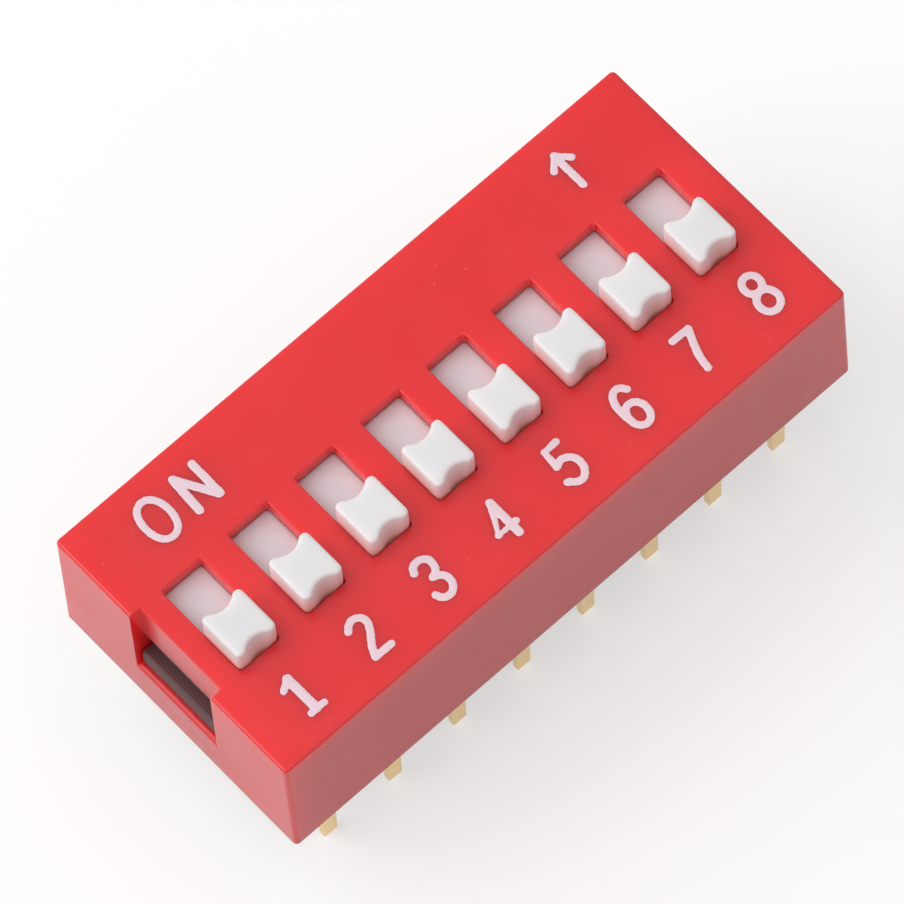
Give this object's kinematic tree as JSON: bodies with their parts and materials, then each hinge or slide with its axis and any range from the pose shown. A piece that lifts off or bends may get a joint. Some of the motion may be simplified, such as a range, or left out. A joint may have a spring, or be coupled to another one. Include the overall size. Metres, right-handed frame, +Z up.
{
  "type": "dip switch",
  "caption": "Slide-type DIP switch: a low red cover with a row of white slide knobs in slots, snapped on a black base with rows of flat gold pins.",
  "frame": {"origin": "centre of the pin pattern on the seating plane, the rim of the cover's underside", "axes": "+X along the pin rows from position 1 to position 8, +Y towards the ON side, +Z up out of the knobs' side"},
  "size_m": [0.0218, 0.01, 0.0105],
  "materials": {
    "cover_plastic": "satin moulded red plastic",
    "base_plastic": "fine matte moulded black plastic",
    "slider_plastic": "satin moulded white plastic",
    "contact_metal": "gold-plated spring strip",
    "pin_metal": "pale gold-plated stamped strip"
  },
  "bodies": {
    "housing": {"cover": "cover_plastic", "base": "base_plastic", "number_pin_1": "pin_metal", "number_pin_2": "pin_metal", "number_pin_3": "pin_metal", "number_pin_4": "pin_metal", "number_pin_5": "pin_metal", "number_pin_6": "pin_metal", "number_pin_7": "pin_metal", "number_pin_8": "pin_metal", "on_pin_1": "pin_metal", "on_pin_2": "pin_metal", "on_pin_3": "pin_metal", "on_pin_4": "pin_metal", "on_pin_5": "pin_metal", "on_pin_6": "pin_metal", "on_pin_7": "pin_metal", "on_pin_8": "pin_metal"},
    "switch_1": {"slider_1": "slider_plastic", "contact_1": "contact_metal"},
    "switch_2": {"slider_2": "slider_plastic", "contact_2": "contact_metal"},
    "switch_3": {"slider_3": "slider_plastic", "contact_3": "contact_metal"},
    "switch_4": {"slider_4": "slider_plastic", "contact_4": "contact_metal"},
    "switch_5": {"slider_5": "slider_plastic", "contact_5": "contact_metal"},
    "switch_6": {"slider_6": "slider_plastic", "contact_6": "contact_metal"},
    "switch_7": {"slider_7": "slider_plastic", "contact_7": "contact_metal"},
    "switch_8": {"slider_8": "slider_plastic", "contact_8": "contact_metal"}
  },
  "joints": [
    {"name": "switch_1_slide", "type": "slide", "parent": "housing", "child": "switch_1", "axis": [0, 1, 0], "range_m": [0, 0.00174]},
    {"name": "switch_2_slide", "type": "slide", "parent": "housing", "child": "switch_2", "axis": [0, 1, 0], "range_m": [0, 0.00174]},
    {"name": "switch_3_slide", "type": "slide", "parent": "housing", "child": "switch_3", "axis": [0, 1, 0], "range_m": [0, 0.00174]},
    {"name": "switch_4_slide", "type": "slide", "parent": "housing", "child": "switch_4", "axis": [0, 1, 0], "range_m": [0, 0.00174]},
    {"name": "switch_5_slide", "type": "slide", "parent": "housing", "child": "switch_5", "axis": [0, 1, 0], "range_m": [0, 0.00174]},
    {"name": "switch_6_slide", "type": "slide", "parent": "housing", "child": "switch_6", "axis": [0, 1, 0], "range_m": [0, 0.00174]},
    {"name": "switch_7_slide", "type": "slide", "parent": "housing", "child": "switch_7", "axis": [0, 1, 0], "range_m": [0, 0.00174]},
    {"name": "switch_8_slide", "type": "slide", "parent": "housing", "child": "switch_8", "axis": [0, 1, 0], "range_m": [0, 0.00174]}
  ]
}
